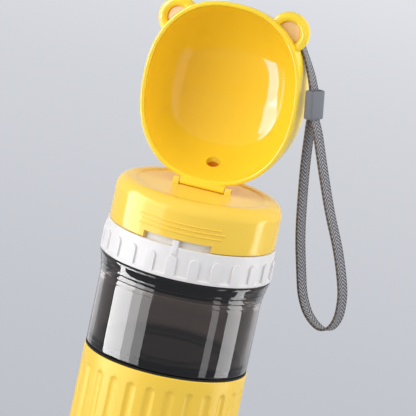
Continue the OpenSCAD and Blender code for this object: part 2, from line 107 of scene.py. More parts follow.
def addLamp(name, place, facing, width, height, watts):
    bpy.ops.object.light_add(type="AREA", location=place)
    lamp = bpy.context.object
    lamp.name = name
    lamp.rotation_euler = facing
    lamp.data.shape = "RECTANGLE"
    lamp.data.size = width
    lamp.data.size_y = height
    lamp.data.energy = watts
    lamp.visible_camera = False
    return lamp


# softboxes, which light without a reflection of their own: azimuth and elevation, distance,
# width, height, height they aim at, watts
softboxes = {
    "keyBox": (-74, 14, 0.80, 0.33, 0.75, 0.14, 1.3),
    "keyFillBox": (-40, 18, 0.85, 0.48, 0.75, 0.14, 3.5),
    "frontBox": (9, 32, 0.95, 0.50, 0.40, 0.14, 0.5),
    "rightFrontBox": (66, 14, 0.80, 0.40, 0.75, 0.14, 0.7),
    "rightBox": (110, 10, 0.80, 0.40, 0.75, 0.14, 1.9),
    "rimLeftBox": (-141, 10, 0.90, 0.32, 0.75, 0.14, 1.35),
    "rimRightBox": (157, 10, 0.90, 0.32, 0.75, 0.14, 0.6),
    "topBox": (9, 72, 0.90, 0.55, 0.45, 0.14, 1.2),
    "bowlBoxRight": (80, 12, 0.28, 0.12, 0.14, 0.20, 0.19),
    "bowlBoxBack": (135, 4, 0.25, 0.10, 0.14, 0.20, 0.16),
    "bowlBoxLeft": (-72, 12, 0.28, 0.12, 0.14, 0.20, 0.085),
}


def makeSoftbox(name, s):
    azimuth, elevation, distance, width, height, aimHeight, watts = s
    back = backVector(azimuth, elevation)
    place = Vector((0, 0, aimHeight)) + back * distance
    facing = (-back).to_track_quat("-Z", "Y").to_euler()
    lamp = addLamp(name, place, facing, width, height, watts)
    lamp.visible_glossy = False


for boxName in softboxes:
    makeSoftbox(boxName, softboxes[boxName])

# strips, which show only as reflections: azimuths of both edges at the foot, how far the head
# is turned on, distance from the bottle, height of foot and head, brightness, and their part
glossStrips = {
    "tankStrip": (-84.5, -52.8, 0, 0.20, 0.0, 0.088, 13.8, "tank"),
    "tankStripSoft": (-52.8, -38.0, 0, 0.20, 0.0, 0.088, 8.2, "tank"),
    "tankStripEnd": (-38.0, -24.3, 0, 0.20, 0.0, 0.088, 4.2, "tank"),
    "tankStripFaint": (56.8, 67.0, 0, 0.20, 0.0, 0.088, 2.7, "tank"),
    "tankStripRight": (81.3, 106.0, 0, 0.20, 0.0, 0.088, 5.4, "tank"),
    "tankEdgeLeft": (-142, -118, 0, 0.20, 0.0, 0.088, 0.8, "tank"),
    "tankEdgeRight": (138, 160, 0, 0.20, 0.0, 0.088, 0.4, "tank"),
    "shellStripLeft": (-84, -57, 0, 0.20, 0.0, 0.20, 3.6, "shell"),
    "shellStripMiddle": (-57, -24, 0, 0.20, 0.0, 0.20, 2.2, "shell"),
    "shellStripRight": (84, 108, 0, 0.20, 0.0, 0.20, 2.2, "shell"),
    "capStripLeft": (-93, -60, 0, 0.20, 0.05, 0.26, 14.0, "cap"),
    "capStripMiddle": (-60, -30, 0, 0.20, 0.05, 0.26, 7.0, "cap"),
    "capStripRight": (95, 112, 0, 0.20, 0.05, 0.17, 8.5, "cap"),
    "bowlStripLow": (-47, -27, -3, 0.18, 0.008, 0.19, 17.0, "bowl"),
    "bowlStripHigh": (-52, -26, -20, 0.18, 0.180, 0.30, 17.0, "bowl"),
    "bowlStripEnd": (-79, -47, -41, 0.18, 0.297, 0.385, 17.0, "bowl"),
    "bowlStripSide": (-105, -58, 0, 0.20, 0.02, 0.33, 7.0, "bowl"),
    "bowlStripLeft": (31, 56, 6, 0.18, 0.02, 0.19, 1.2, "bowl"),
    "bowlStripLeftHigh": (37, 62, 19, 0.18, 0.19, 0.45, 1.2, "bowl"),
}
# the pieces of each part, and the colour of its strips
stripPieces = {
    "tank": (("waterTank",), (1, 1, 1)),
    "shell": (("foodCup", "lockRing"), (1, 1, 1)),
    "cap": (("capShell",), (1, 1, 1)),
    "bowl": (("drinkingBowl", "earPadLeft", "earPadRight"), (0.45, 0.53, 1.0)),
}
stripParts = {part: bpy.data.collections.new(part + "Strips") for part in stripPieces}


def makeGlossStrip(name, s):
    first, last, turn, distance, footHeight, headHeight, brightness, part = s
    middle = (first + last) / 2
    foot = backVector(middle, 0) * distance + Vector((0, 0, footHeight))
    head = backVector(middle + turn, 0) * distance + Vector((0, 0, headHeight))
    centre = (foot + head) / 2
    length = (head - foot).length
    width = 2 * distance * math.tan(math.radians((last - first) / 2))
    along = (head - foot).normalized()
    away = Vector((centre.x, centre.y, 0))
    away = (away - away.dot(along) * along).normalized()
    facing = Matrix((along.cross(away), along, away)).transposed().to_euler()
    watts = brightness * math.pi * width * length
    lamp = addLamp(name, centre, facing, width, length, watts)
    lamp.data.color = stripPieces[part][1]
    lamp.visible_diffuse = False
    lamp.visible_transmission = False
    lamp.light_linking.receiver_collection = stripParts[part]


for stripName in glossStrips:
    makeGlossStrip(stripName, glossStrips[stripName])
print("camera and lamps are in place")


# colours and materials
def srgb(r, g, b):
    def line(v):
        v = v / 255
        return v / 12.92 if v <= 0.04045 else ((v + 0.055) / 1.055) ** 2.4
    return (line(r), line(g), line(b), 1.0)


# puts a plain value into a socket, or links another socket to it
def feed(tree, socket, value):
    if isinstance(value, (int, float, tuple)):
        socket.default_value = value
    else:
        tree.links.new(value, socket)


def setInputs(node, values):
    for key in values:
        node.inputs[key].default_value = values[key]


def mathNode(tree, operation, *values, clamp=False):
    node = tree.nodes.new("ShaderNodeMath")
    node.operation = operation
    node.use_clamp = clamp
    for socket, value in zip(node.inputs, values):
        feed(tree, socket, value)
    return node.outputs[0]


def mixColors(tree, factor, a, b):
    node = tree.nodes.new("ShaderNodeMix")
    node.data_type = "RGBA"
    for place, value in ((0, factor), (6, a), (7, b)):     # 6 and 7 are its colours
        feed(tree, node.inputs[place], value)
    return node.outputs[2]


# noise on the object's own place
def noiseNode(tree, scale, detail):
    coords = tree.nodes.new("ShaderNodeTexCoord")
    noise = tree.nodes.new("ShaderNodeTexNoise")
    tree.links.new(coords.outputs["Object"], noise.inputs["Vector"])
    feed(tree, noise.inputs["Scale"], scale)
    noise.inputs["Detail"].default_value = detail
    return noise.outputs["Fac"]


def bumpNode(tree, height, distance, strength):
    bump = tree.nodes.new("ShaderNodeBump")
    bump.inputs["Distance"].default_value = distance
    feed(tree, bump.inputs["Strength"], strength)
    tree.links.new(height, bump.inputs["Height"])
    return bump.outputs["Normal"]


# X, Y and Z of the object's own place
def placeOutputs(tree):
    coords = tree.nodes.new("ShaderNodeTexCoord")
    split = tree.nodes.new("ShaderNodeSeparateXYZ")
    tree.links.new(coords.outputs["Object"], split.inputs[0])
    return split.outputs


# 0 to 1 while the value goes from first to last
def rampNode(tree, value, first, last, way="LINEAR"):
    ramp = tree.nodes.new("ShaderNodeMapRange")
    ramp.interpolation_type = way
    tree.links.new(value, ramp.inputs["Value"])
    setInputs(ramp, {"From Min": first, "From Max": last})
    return ramp.outputs[0]


finishSet = {
    "toneScale": 28,           # drift of tone over a few centimetres
    "toneDetail": 3,
    "glossScale": 160,         # drift of gloss over a few millimetres
    "glossDetail": 4,
    "peelDetail": 2,
    "peelDistance": 0.0002,
    "inputs": {                # value, least, most
        "Tone Drift": (0.04, 0, 1),
        "Roughness": (0.3, 0, 1),
        "Gloss Drift": (0.05, 0, 1),
        "Peel Scale": (900.0, 1, 10000),
        "Peel Height": (0.02, 0, 1),
    },
}


# moulded plastic: a slow drift of tone, a slightly uneven gloss, a fine orange peel
def makeMouldedGroup(s):
    g = bpy.data.node_groups.new("mouldedFinish", "ShaderNodeTree")
    add = g.interface.new_socket
    color = add(name="Color", in_out="INPUT", socket_type="NodeSocketColor")
    color.default_value = (0.8, 0.8, 0.8, 1)
    for name, (value, least, most) in s["inputs"].items():
        socket = add(name=name, in_out="INPUT", socket_type="NodeSocketFloat")
        socket.default_value = value
        socket.min_value = least
        socket.max_value = most
    for name, kind in (("Color", "Color"), ("Roughness", "Float"), ("Normal", "Vector")):
        add(name=name, in_out="OUTPUT", socket_type="NodeSocket" + kind)
    given = g.nodes.new("NodeGroupInput").outputs
    made = g.nodes.new("NodeGroupOutput").inputs
    slow = mathNode(g, "SUBTRACT", noiseNode(g, s["toneScale"], s["toneDetail"]), 0.5)
    tone = g.nodes.new("ShaderNodeVectorMath")
    tone.operation = "SCALE"
    g.links.new(given["Color"], tone.inputs[0])
    g.links.new(mathNode(g, "MULTIPLY_ADD", slow, given["Tone Drift"], 1.0), tone.inputs["Scale"])
    g.links.new(tone.outputs[0], made["Color"])
    fine = mathNode(g, "SUBTRACT", noiseNode(g, s["glossScale"], s["glossDetail"]), 0.5)
    gloss = mathNode(g, "MULTIPLY_ADD", fine, given["Gloss Drift"], given["Roughness"], clamp=True)
    g.links.new(gloss, made["Roughness"])
    peel = noiseNode(g, given["Peel Scale"], s["peelDetail"])
    g.links.new(bumpNode(g, peel, s["peelDistance"], given["Peel Height"]), made["Normal"])
    return g


mouldedGroup = makeMouldedGroup(finishSet)


def newMaterial(name, color):
    m = bpy.data.materials.new(name)
    m.use_nodes = True
    m.diffuse_color = srgb(*color)
    return m, m.node_tree, m.node_tree.nodes["Principled BSDF"]


# places the moulded finish in a material and gives its colour and roughness to the shader
def placeFinish(tree, bsdf, color, finish):
    node = tree.nodes.new("ShaderNodeGroup")
    node.node_tree = mouldedGroup
    feed(tree, node.inputs["Color"], color)
    setInputs(node, finish)
    tree.links.new(node.outputs["Color"], bsdf.inputs["Base Color"])
    tree.links.new(node.outputs["Roughness"], bsdf.inputs["Roughness"])
    return node


def mouldedPlastic(name, color, finish, shader):
    m, tree, bsdf = newMaterial(name, color)
    node = placeFinish(tree, bsdf, srgb(*color), finish)
    tree.links.new(node.outputs["Normal"], bsdf.inputs["Normal"])
    setInputs(bsdf, shader)
    return m


# colour, roughness, drift of gloss, drift of tone, height of the peel, values of the shader
plastics = {
    "cupYellow": ((254, 212, 74), 0.30, 0.05, 0.05, 0.10, {}),
    "capYellow": ((254, 213, 86), 0.14, 0.05, 0.04, 0.03, {"Specular IOR Level": 0.16}),
    "bowlYellow": ((255, 219, 58), 0.06, 0.05, 0.04, 0.006, {"Specular IOR Level": 0.3}),
    "ringWhite": ((233, 231, 230), 0.36, 0.05, 0.02, 0.08, {"Specular IOR Level": 0.3}),
    "valveWhite": ((225, 226, 226), 0.42, 0.05, 0.03, 0.08, {}),
    "insetBeige": ((246, 208, 146), 0.55, 0.05, 0.06, 0.15, {}),
    "sliderGrey": ((116, 118, 125), 0.36, 0.05, 0.05, 0.12, {}),
    "sealWhite": ((222, 221, 216), 0.55, 0.05, 0.04, 0.1, {}),
    "sealAmber": ((242, 143, 14), 0.5, 0.05, 0.04, 0.08, {}),
    "sealBlack": ((28, 27, 26), 0.5, 0.05, 0.08, 0.1, {}),
    "brightSteel": ((188, 189, 192), 0.26, 0.2, 0.05, 0.05, {"Metallic": 1.0}),
}
finishKeys = ("Roughness", "Gloss Drift", "Tone Drift", "Peel Height")
material = {}
for plasticName, (color, *finish, shader) in plastics.items():
    finish = dict(zip(finishKeys, finish))
    material[plasticName] = mouldedPlastic(plasticName, color, finish, shader)

webbingSet = {
    "yarn": (178, 178, 184),
    "shadow": (34, 33, 35),
    "selvedge": (118, 98, 82),
    "dust": (168, 166, 166),
    "dustShare": 0.22,
    "ribs": 3.6,           # diagonal ribs in one webbing width
    "crossing": 1.9,       # crossings for each rib
    "stitches": 2.6,       # stitches in one webbing width
    "selvedgeFrom": 0.40,
    "selvedgeSteep": 30.0,
    "fuzzScale": 1500,
    "fuzzDetail": 2,
    "weaveDistance": 0.00025,
    "weaveStrength": 0.8,
    "shader": {"Roughness": 0.82, "Sheen Weight": 0.25},
}


# herringbone webbing with a stitched selvedge, on the weave map
def makeWebbingMaterial(s):
    m, tree, bsdf = newMaterial("webbing", s["yarn"])
    weaveMap = tree.nodes.new("ShaderNodeUVMap")
    weaveMap.uv_map = "weave"
    split = tree.nodes.new("ShaderNodeSeparateXYZ")
    tree.links.new(weaveMap.outputs["UV"], split.inputs[0])
    across = mathNode(tree, "ABSOLUTE", mathNode(tree, "SUBTRACT", split.outputs["X"], 0.5))
    along = split.outputs["Y"]
    slant = mathNode(tree, "MULTIPLY", mathNode(tree, "ADD", across, along), s["ribs"] * math.tau)
    rib = mathNode(tree, "MULTIPLY_ADD", mathNode(tree, "SINE", slant), 0.5, 0.5)
    crossing = mathNode(tree, "MULTIPLY", across, s["ribs"] * s["crossing"] * math.tau)
    crossing = mathNode(tree, "MULTIPLY_ADD", mathNode(tree, "SINE", crossing), 0.2, 0.8)
    rib = mathNode(tree, "MULTIPLY", rib, crossing)
    stitch = mathNode(tree, "SINE", mathNode(tree, "MULTIPLY", along, s["stitches"] * math.tau))
    stitch = mathNode(tree, "MULTIPLY_ADD", stitch, 0.5, 0.5)
    beyond = mathNode(tree, "MAXIMUM", mathNode(tree, "SUBTRACT", across, s["selvedgeFrom"]), 0.0)
    atEdge = mathNode(tree, "MULTIPLY", beyond, s["selvedgeSteep"])
    atEdge = mathNode(tree, "SMOOTH_MIN", atEdge, 1.0, 0.1)
    fuzz = noiseNode(tree, s["fuzzScale"], s["fuzzDetail"])
    yarn = mixColors(tree, rib, srgb(*s["shadow"]), srgb(*s["yarn"]))
    thread = mixColors(tree, stitch, srgb(*s["shadow"]), srgb(*s["selvedge"]))
    cloth = mixColors(tree, atEdge, yarn, thread)
    dust = mathNode(tree, "MULTIPLY", fuzz, s["dustShare"])
    tree.links.new(mixColors(tree, dust, cloth, srgb(*s["dust"])), bsdf.inputs["Base Color"])
    inside = mathNode(tree, "MULTIPLY", rib, mathNode(tree, "SUBTRACT", 1.0, atEdge))
    height = mathNode(tree, "ADD", inside, mathNode(tree, "MULTIPLY", stitch, atEdge))
    height = mathNode(tree, "ADD", height, mathNode(tree, "MULTIPLY", fuzz, 0.5))
    bump = bumpNode(tree, height, s["weaveDistance"], s["weaveStrength"])
    tree.links.new(bump, bsdf.inputs["Normal"])
    setInputs(bsdf, s["shader"])
    return m


material["webbing"] = makeWebbingMaterial(webbingSet)

smokeSet = {
    "clear": (142, 132, 126),
    "thick": (38, 32, 28),       # seen through the shoulder and the floor
    "floor": (84.5, 81.0),       # heights between which the smoke thickens
    "shoulder": (115.2, 116.4),
    "finish": {"Roughness": 0.02, "Gloss Drift": 0.02, "Tone Drift": 0.03},
    "shader": {"Specular IOR Level": 0.3, "Transmission Weight": 1.0, "IOR": 1.49},
}


# smoke-grey clear plastic, darker where the wall is thick
def makeSmokeMaterial(s):
    m, tree, bsdf = newMaterial("smokeClear", s["clear"])
    height = placeOutputs(tree)["Z"]
    thickParts = [rampNode(tree, height, first * mm, last * mm, "SMOOTHSTEP")
                  for first, last in (s["floor"], s["shoulder"])]
    thick = mathNode(tree, "MAXIMUM", *thickParts)
    placeFinish(tree, bsdf, mixColors(tree, thick, srgb(*s["clear"]), srgb(*s["thick"])), s["finish"])
    setInputs(bsdf, s["shader"])
    return m


material["smokeClear"] = makeSmokeMaterial(smokeSet)
print("materials are mixed")

# small edges that the moulded pieces share, in millimetres
chamfer = 0.3
softEdge = 0.4
fillet = 0.5
gap = 0.3      # between pieces that move in each other
aligned = 0.9  # least cosine of an edge or face that lies along an axis
# sizes on which neighbouring pieces agree
jointSet = {
    "capWall": 2.2,
    "windowHeight": 2.9,   # of the cap's window, in which the pointer shows
    "outletBack": 17.0,    # of the outlet's axis behind the bottle's
    "barrelLength": 19.0,
    "axisBack": 0.5,
    "axisUp": 0.8,         # of the hinge axis above the cap's crest
    "lugRadius": 1.4,
    "pinBore": 0.85,
    "pinSides": 48,
}


# ways of modelling that the pieces share
def activate(obj):
    deselect()
    obj.select_set(True)
    bpy.context.view_layer.objects.active = obj


def editAll(obj):
    activate(obj)
    bpy.context.tool_settings.mesh_select_mode = (True, False, False)
    bpy.ops.object.mode_set(mode="EDIT")
    bpy.ops.mesh.select_all(action="SELECT")


def leaveEdit():
    bpy.ops.object.mode_set(mode="OBJECT")


# selects the corners, edges or faces whose middle (in mm) and direction pass a test, ready to edit
def pick(obj, kind, test):
    activate(obj)
    mesh = obj.data
    for part in (mesh.vertices, mesh.edges, mesh.polygons):
        part.foreach_set("select", [False] * len(part))
    if kind == "corners":
        for v in mesh.vertices:
            v.select = test(v.co / mm, v.normal)
    elif kind == "edges":
        for e in mesh.edges:
            a, b = (mesh.vertices[i].co / mm for i in e.vertices)
            e.select = test((a + b) / 2, (b - a).normalized())
    else:
        for p in mesh.polygons:
            p.select = test(p.center / mm, p.normal)
    modes = tuple(kind == k for k in ("corners", "edges", "faces"))
    bpy.context.tool_settings.mesh_select_mode = modes
    bpy.ops.object.mode_set(mode="EDIT")


def bevelPicked(width, segments):
    bpy.ops.mesh.bevel(offset=width * mm, segments=segments, affect="EDGES")
    leaveEdit()


def extrudeBy(step):
    bpy.ops.mesh.extrude_region_move(TRANSFORM_OT_translate={"value": step})


def placeInMesh(obj):
    activate(obj)
    bpy.ops.object.transform_apply(location=True, rotation=True, scale=True)
    return obj


def closeUp(obj, merge=0.01):
    editAll(obj)
    bpy.ops.mesh.remove_doubles(threshold=merge * mm)
    bpy.ops.mesh.normals_make_consistent(inside=False)
    leaveEdit()


def finishPiece(obj, name, mat, angle=35):
    obj.name = name
    obj.data.name = name
    obj.data.materials.clear()
    obj.data.materials.append(material[mat])
    activate(obj)
    bpy.ops.object.shade_smooth_by_angle(angle=math.radians(angle))
    return obj


# a wire drawn by extruding one corner from point to point
def drawWire(points):
    deselect()
    bpy.ops.mesh.primitive_plane_add(size=mm, location=(0, 0, 0))
    obj = bpy.context.object
    editAll(obj)
    bpy.ops.mesh.merge(type="CENTER")
    bpy.ops.transform.translate(value=Vector(points[0]) * mm)
    for a, b in zip(points, points[1:]):
        extrudeBy((Vector(b) - Vector(a)) * mm)
    leaveEdit()
    return obj


def spinRound(obj, steps, angle):
    editAll(obj)
    bpy.ops.mesh.spin(steps=steps, angle=angle, center=(0, 0, 0), axis=(0, 0, 1))
    leaveEdit()


# turns a profile of (radius, height) round the Z axis
def turned(profile, columns):
    obj = drawWire([(r, 0, z) for r, z in profile])
    spinRound(obj, columns, math.tau)
    closeUp(obj)
    return obj


# rounds the corner of a profile at (x, z) with radius r, from angle a0 to a1 in degrees
def rounded(x, z, r, a0, a1, count):
    middle = math.radians((a0 + a1) / 2)
    x -= math.copysign(r, math.cos(middle))
    z -= math.copysign(r, math.sin(middle))
    angles = [math.radians(a0 + (a1 - a0) * i / count) for i in range(count + 1)]
    return [(x + r * math.cos(a), z + r * math.sin(a)) for a in angles]


def block(x0, y0, z0, x1, y1, z1):
    pairs = ((x0, x1), (y0, y1), (z0, z1))
    deselect()
    bpy.ops.mesh.primitive_cube_add(size=1, location=[(a + b) / 2 * mm for a, b in pairs],
                                    scale=[(b - a) * mm for a, b in pairs])
    return placeInMesh(bpy.context.object)


# a round bar from one point to another point
def roundBar(a, b, radius, sides=64):
    a = Vector(a) * mm
    b = Vector(b) * mm
    facing = (b - a).to_track_quat("Z", "Y").to_euler()
    deselect()
    bpy.ops.mesh.primitive_cylinder_add(vertices=sides, radius=radius * mm, depth=(b - a).length,
                                        location=(a + b) / 2, rotation=facing)
    return placeInMesh(bpy.context.object)


def combine(obj, tool, way="DIFFERENCE"):
    activate(obj)
    mod = obj.modifiers.new(way.lower(), "BOOLEAN")
    mod.operation = way
    mod.object = tool
    mod.solver = "EXACT"
    bpy.ops.object.modifier_apply(modifier=mod.name)
    bpy.data.objects.remove(tool)


def bevelEdges(obj, width, segments=3, angle=50):
    activate(obj)
    mod = obj.modifiers.new("softEdges", "BEVEL")
    mod.width = width * mm
    mod.segments = segments
    mod.limit_method = "ANGLE"
    mod.angle_limit = math.radians(angle)
    bpy.ops.object.modifier_apply(modifier=mod.name)


def join(obj, others):
    activate(obj)
    for other in others:
        other.select_set(True)
    bpy.ops.object.join()


def moveMesh(obj, matrix):
    obj.data.transform(matrix)
    obj.data.update()


def copyOf(obj):
    twin = obj.copy()
    twin.data = obj.data.copy()
    bpy.context.collection.objects.link(twin)
    return twin


def shift(x, y, z):
    return Matrix.Translation(Vector((x, y, z)) * mm)


def turning(angle, axis):
    return Matrix.Rotation(math.radians(angle), 4, axis)


def turnAbout(angle, axis, point=(0, 0, 0)):
    there = shift(*point)
    return there @ turning(angle, axis) @ there.inverted()


# strap: the webbing from the right ear, through the slider, and its loop
strapSet = {
    "width": 5.5,
    "thickness": 1.1,
    "edgeBead": 0.5,       # width of the rounded selvedge
    "flat": 0.40,          # half of the flat cloth, in thicknesses
    "flatSteps": ((2.4, 1), (1.7, 0.8)),                  # beads in from the edge, share of the flat
    "beadSteps": ((1.3, 0.86), (0.8, 1), (0.3, 0.8)),     # the same, share of half the thickness
    "steps": 4,            # rings between two points of the route
    "reach": 0.05,         # of the route on each side that gives its direction
    "tailEnd": 3,
    "leadEnd": 6,
    "tailBearing": 80,
    "sliderBearing": 57,
}
strapRoute = [
    (25, 12.3, 220.6), (26.4, 12.3, 217.6), (28.2, 11.9, 214.6), (30.6, 10.4, 211.3),
    (33.4, 7.6, 207.2), (35.8, 4.9, 202.9), (36.7, 4.5, 200.4), (37.1, 4.6, 197.5),
    (37.5, 4.6, 194), (38, 4.6, 189.5), (38.2, 5.6, 184), (39.2, 7.5, 169), (40.9, 9.8, 153),
    (43, 12, 138), (46.4, 13.2, 123), (48.7, 13.1, 115), (52.2, 11.9, 108.6), (56.6, 9.8, 104.8),
    (60.8, 7.4, 103.6), (64.5, 4.6, 105.8), (66.7, 2.2, 111), (67, 0.9, 117.5), (65.8, 0.5, 125),
    (61, 0.4, 139), (54.1, 1.2, 154), (47.6, 2.1, 170), (42.2, 2.9, 184), (39.5, 3.5, 189.5),
    (38.6, 3.7, 194), (37.9, 3.6, 199),
]
lastPoint = len(strapRoute) - 1


# point at t on the smooth curve through the route
def routePoint(t):
    k = min(int(t), lastPoint - 1)
    f = t - k
    near = (max(k - 1, 0), k, k + 1, min(k + 2, lastPoint))
    a, b, c, d = (Vector(strapRoute[i]) for i in near)
    square = (2 * a - 5 * b + 4 * c - d) * f * f
    return 0.5 * (2 * b + (c - a) * f + square + (3 * b - a - 3 * c + d) * f ** 3)


# outline of the webbing's section: (across, up)
def webbingSection(s):
    half = s["width"] / 2
    bead = s["edgeBead"]
    flat = s["thickness"] * s["flat"]
    upper = [(0, flat), ((half - 2 * bead) * 0.5, flat)]
    for height, steps in ((flat, s["flatSteps"]), (s["thickness"] / 2, s["beadSteps"])):
        upper += [(half - inward * bead, height * share) for inward, share in steps]
    right = upper + [(half, 0)] + [(x, -y) for x, y in reversed(upper)]
    left = [(-x, y) for x, y in reversed(right)][1:-1]
    return right + left


# middle of the webbing at t, and the directions across it and out of it
def webbingPlace(t, s):
    ahead = routePoint(min(t + s["reach"], lastPoint))
    go = (ahead - routePoint(max(t - s["reach"], 0))).normalized()
    part = max(0, min(1, (t - s["tailEnd"]) / (s["leadEnd"] - s["tailEnd"])))
    bearing = math.radians(s["tailBearing"] + (s["sliderBearing"] - s["tailBearing"]) * part)
    across = Vector((math.cos(bearing), math.sin(bearing), 0))
    across = (across - across.dot(go) * go).normalized()
    return routePoint(t), across, go.cross(across)


# weave map: across the webbing and along it, both in webbing widths
def mapWeave(mesh, section, middles, width):
    n = len(section)
    along = [0.0]
    for a, b in zip(middles, middles[1:]):
        along.append(along[-1] + (b - a).length / mm / width)
    weave = mesh.uv_layers.new(name="weave")
    for loop in mesh.loops:
        v = loop.vertex_index
        weave.data[loop.index].uv = (section[v % n][0] / width + 0.5, along[v // n])


def makeWebbing(name, t0, t1, s):
    count = (t1 - t0) * s["steps"]
    section = webbingSection(s)
    middles = []
    corners = []
    for i in range(count + 1):
        middle, across, up = webbingPlace(t0 + i / s["steps"], s)
        middles.append(middle * mm)
        corners += [(middle + x * across + y * up) * mm for x, y in section]
    n = len(section)
    faces = [tuple(range(n - 1, -1, -1))]
    for k in range(count):
        for i in range(n):
            j = (i + 1) % n
            faces.append((k * n + i, k * n + j, (k + 1) * n + j, (k + 1) * n + i))
    faces.append(tuple(count * n + i for i in range(n)))
    mesh = bpy.data.meshes.new(name)
    mesh.from_pydata(corners, [], faces)
    obj = bpy.data.objects.new(name, mesh)
    bpy.context.collection.objects.link(obj)
    mapWeave(mesh, section, middles, s["width"])
    closeUp(obj, 0.001)
    return finishPiece(obj, name, "webbing", 50), middles


strapTail, tailMiddles = makeWebbing("strapTail", 0, strapSet["tailEnd"], strapSet)
strapLead, leadMiddles = makeWebbing("strapLead", strapSet["tailEnd"], strapSet["leadEnd"], strapSet)
strapLoop, loopMiddles = makeWebbing("strapLoop", strapSet["leadEnd"], lastPoint, strapSet)
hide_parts("strap_tail")
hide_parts("strap_lead")
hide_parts("strap_loop")

sliderSet = {
    "middle": (37.95, 4.1, 195.5),
    "lean": 8,
    "width": 8.0,
    "thickness": 4.6,
    "length": 12,
    "side": 0.8,
    "wall": 0.6,
    "corner": 1.1,
    "rim": 0.8,
}


def makeSlider(s):
    w, t, l = s["width"] / 2, s["thickness"] / 2, s["length"] / 2
    obj = block(-w, -t, -l, w, t, l)
    pick(obj, "edges", lambda middle, way: abs(way.z) > aligned)
    bevelPicked(s["corner"], 5)
    pick(obj, "faces", lambda middle, way: abs(way.z) > aligned)
    bevelPicked(s["rim"], 4)
    hole = block(s["side"] - w, s["wall"] - t, -l - 1, w - s["side"], t - s["wall"], l + 1)
    combine(obj, hole)
    place = shift(*s["middle"]) @ turning(-s["lean"], "Y")
    moveMesh(obj, place @ turning(strapSet["sliderBearing"], "Z"))
    return finishPiece(obj, "strapSlider", "sliderGrey", 32)


strapSlider = makeSlider(sliderSet)
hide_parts("strap_slider")
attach(strapSlider, "slider")
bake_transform(strapTail)
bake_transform(strapLead)
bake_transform(strapLoop)
print("strap and slider are made")

# food cup, with grip flutes
cupSet = {
    "columns": 416,
    "wall": 2.4,
    "floor": 2.2,
    "hollow": 1.0,
    "foot": 5.0,
    "edge": 2.0,
    "rim": 0.5,
    "fluteCount": 26,
    "fluteWidth": 4.2,
    "fluteDepth": 0.8,
    "fluteShift": 0.25,    # of the first flute from the front, in pitches
    "fluteTurn": 11,       # degrees between two rows at the rounded ends of the flutes
    "rows": (16, 24, 32, 40, 48, 56, 64),
    "lowRow": 4.5,
    "plainTop": 5.5,
    "plainLow": 7.0,
    "aboveFlutes": 1.5,
}


def makeFoodCup(s):
    top = high("food_cup")
    r = high("food_cup", 0)
    inner = r - s["wall"]
    foot = r - s["edge"] - s["foot"]
    floor = s["hollow"] + s["floor"]
    half = s["fluteWidth"] / 2
    lowest = s["plainLow"]
    highest = top - s["plainTop"]
    turns = range(0, 91, s["fluteTurn"])
    ends = [half * (1 - math.cos(math.radians(a))) for a in turns]
    rows = [s["lowRow"]] + [lowest + end for end in ends] + list(s["rows"])
    rows += [highest - half * (1 - math.cos(math.radians(90 - a))) for a in turns]
    rows += [highest + s["aboveFlutes"]]
    profile = [
        (0, s["hollow"]), (foot - chamfer, s["hollow"]), (foot, s["hollow"] - chamfer),
        *rounded(foot, 0, softEdge, 180, 270, 3), *rounded(r, 0, s["edge"], -90, 0, 8),
        *((r, z) for z in rows), *rounded(r, top, s["rim"], 0, 90, 5),
        *rounded(inner, top, s["rim"], 90, 180, 5), (inner, top / 2),
        *rounded(inner, floor, s["edge"], 0, -90, 8), (inner / 2, floor), (0, floor),
    ]
    obj = turned(profile, s["columns"])
    pressFlutes(obj, r, lowest + half, highest - half, s)
    return finishPiece(obj, "foodCup", "cupYellow", 40)


# each flute is a capsule-shaped hollow, pressed in from the side
def pressFlutes(obj, r, lowEnd, highEnd, s):
    depth = s["fluteDepth"]
    cutter = (s["fluteWidth"] ** 2 / 4 + depth ** 2) / (2 * depth)
    centre = r - depth + cutter
    pitch = math.tau / s["fluteCount"]
    phase = -math.pi / 2 + pitch * s["fluteShift"]
    for v in obj.data.vertices:
        x, y, z = v.co / mm
        out = math.hypot(x, y)
        if out < r - 0.05 or not lowEnd - cutter < z < highEnd + cutter:     # not on the wall
            continue
        off = (math.atan2(y, x) - phase + pitch / 2) % pitch - pitch / 2
        side = out * math.sin(off)
        beyond = max(0, lowEnd - z, z - highEnd)
        reach = cutter ** 2 - side ** 2 - beyond ** 2
        if reach <= 0:
            continue
        pressed = math.hypot(centre - math.sqrt(reach), side)
        if pressed < out:
            v.co.x *= pressed / out
            v.co.y *= pressed / out


foodCup = makeFoodCup(cupSet)
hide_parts("food_cup")
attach(foodCup, "cup")
print("food cup is made")

# water tank
tankSet = {
    "columns": 192,
    "plugDepth": 8,
    "plugWall": 2,
    "plugInset": 3.0,
    "foot": 1.2,
    "wall": 2.8,
    "floor": 2.4,
    "floorStep": 0.7,
    "stepFrom": 0.80,      # radii of the step in the floor, in inner radii
    "stepTo": 0.58,
    "rows": (84, 90, 96, 102),
    "flareHeight": 12,
    "flareRows": 44,
    "flareTop": 1,         # the flare ends this far below the shoulder's top
    "neckWall": 2.4,
    "sealSlack": 0.1,
    "beadDepth": 0.6,
    "beadWidth": 1.2,
    "beadShoulder": 0.7,   # depth of the beads half way down their sides, in depths
    "threadLow": 1,
    "ridges": (109.2, 111.6, 114.0),   # heights of the fine ridges on the shoulder
    "ridgeDepth": 0.09,
    "ridgeWidth": 0.3,
    # inside of the shoulder: wider than the bore, and below the shoulder's top
    "boreSteps": ((0, 1.2), (0.4, 2.3)),
    # narrower than the inner wall, and below the shoulder's top
    "innerSteps": ((0.7, 7.0), (0.15, 8.0), (0, 9.2)),
    "innerRows": (100, 92),
    "innerEdge": 2,
}


